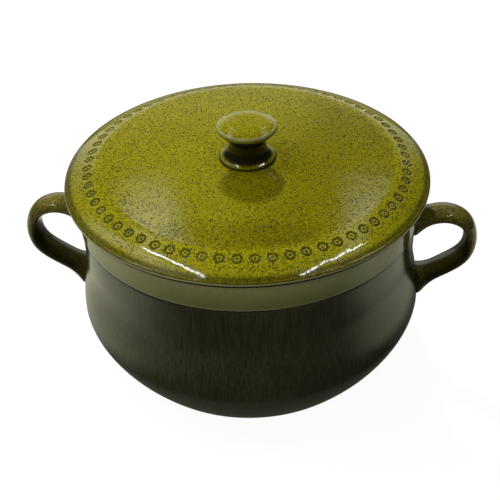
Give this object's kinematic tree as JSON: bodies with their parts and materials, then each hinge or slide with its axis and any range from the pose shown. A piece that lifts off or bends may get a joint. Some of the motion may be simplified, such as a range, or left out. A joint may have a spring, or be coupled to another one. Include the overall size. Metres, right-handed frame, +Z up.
{
  "type": "casserole dish",
  "caption": "Round stoneware pot with two strap handles and a lift-off lid with a flared knob and a stamped ring.",
  "frame": {"origin": "centre of the foot, on the surface that the dish stands on", "axes": "+Z up, along the axis of the pot and the way the lid lifts; +X through the two handles, towards the right handle; the front is -Y"},
  "size_m": [0.3086, 0.236, 0.168],
  "materials": {
    "pot_glaze": "satin",
    "handle_glaze": "gloss",
    "lid_glaze": "gloss",
    "knob_glaze": "gloss"
  },
  "bodies": {
    "pot": {"pot_body": "pot_glaze", "left_handle": "handle_glaze", "right_handle": "handle_glaze"},
    "lid": {"lid": "lid_glaze", "lid_knob": "knob_glaze"}
  },
  "joints": [
    {"name": "lid_lift", "type": "slide", "parent": "pot", "child": "lid", "axis": [0, 0, 1], "range_m": [0, 0.08]}
  ]
}
